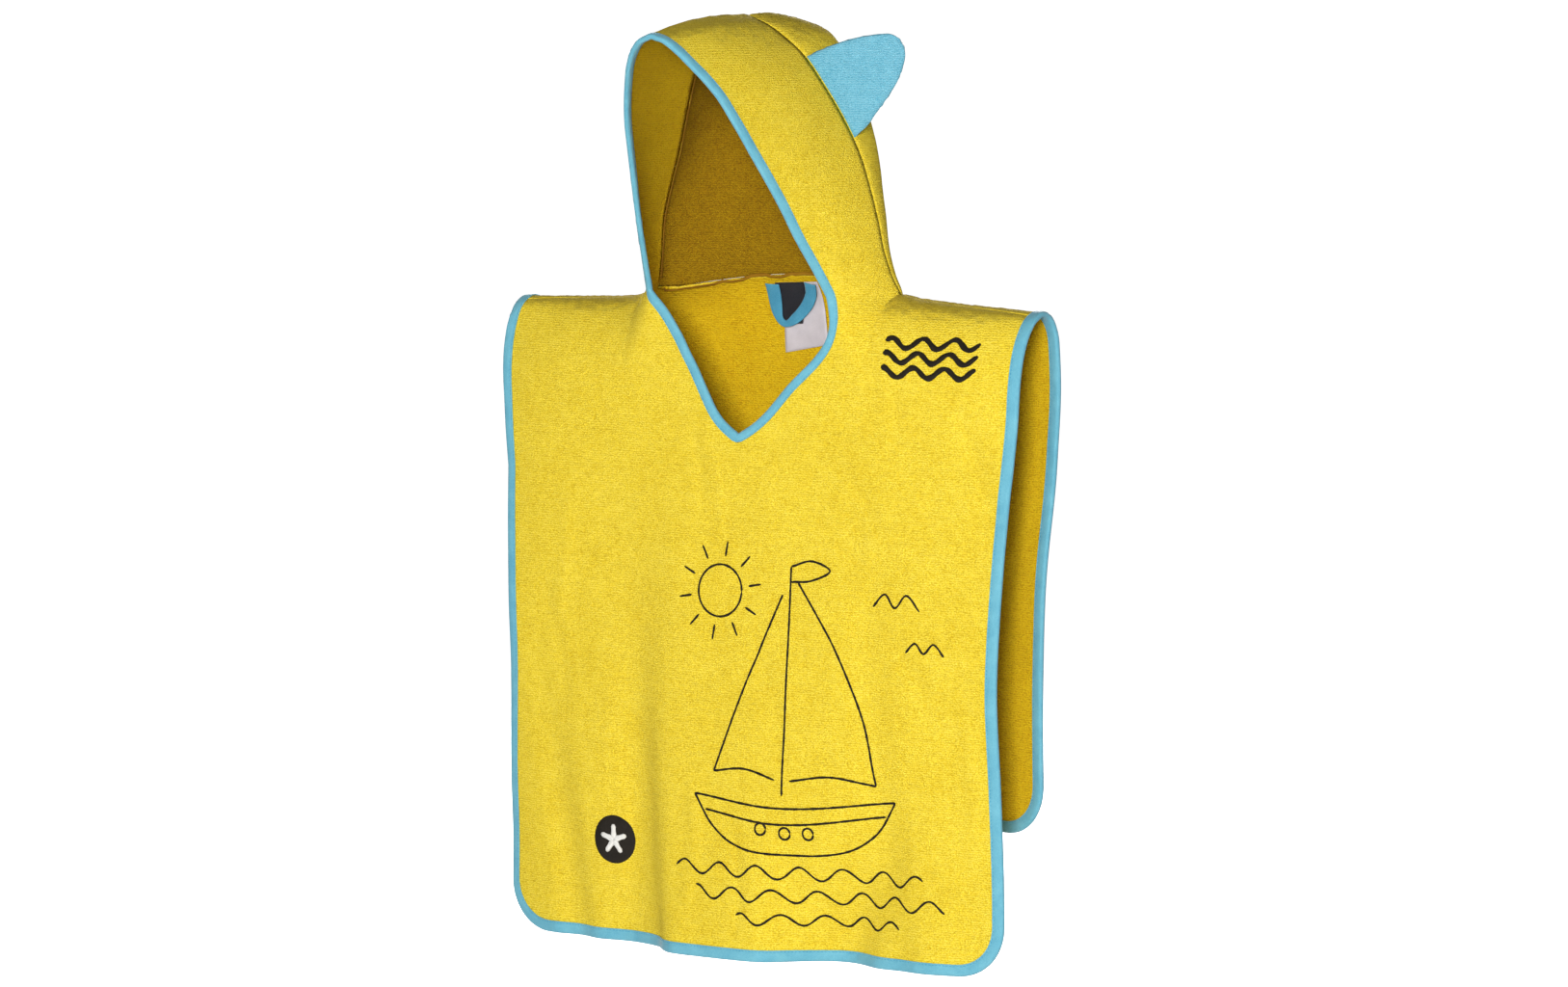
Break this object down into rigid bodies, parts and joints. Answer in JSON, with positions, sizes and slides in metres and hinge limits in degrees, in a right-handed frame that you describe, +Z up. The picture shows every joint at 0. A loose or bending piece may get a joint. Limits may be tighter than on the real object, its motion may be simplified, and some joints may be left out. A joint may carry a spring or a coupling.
{
  "type": "hooded bath poncho",
  "caption": "Child's hooded terry bath poncho, filled out as if worn, with open sides, a V neck, animal ears and a contrasting binding.",
  "frame": {"origin": "middle of the wearer's neck at the height of the shoulder ridge", "axes": "+Z up, +X towards the wearer's left, +Y towards the back; the front faces -Y"},
  "size_m": [0.5874, 0.2719, 0.8694],
  "materials": {
    "terry_yellow": "looped cotton terry, matt",
    "binding_aqua": "woven cotton tape, matt",
    "ear_blue": "looped cotton terry, matt",
    "loop_aqua": "woven cotton tape, matt",
    "label_black": "woven satin label",
    "label_grey": "printed satin label"
  },
  "bodies": {
    "root": {"front_panel": "terry_yellow", "back_panel": "terry_yellow", "hood_band": "terry_yellow", "hood_back": "terry_yellow", "ear_left": "ear_blue", "ear_right": "ear_blue", "binding_outer": "binding_aqua", "binding_neck": "binding_aqua", "hang_loop": "loop_aqua", "label_dark": "label_black", "label_pale": "label_grey"}
  },
  "joints": []
}
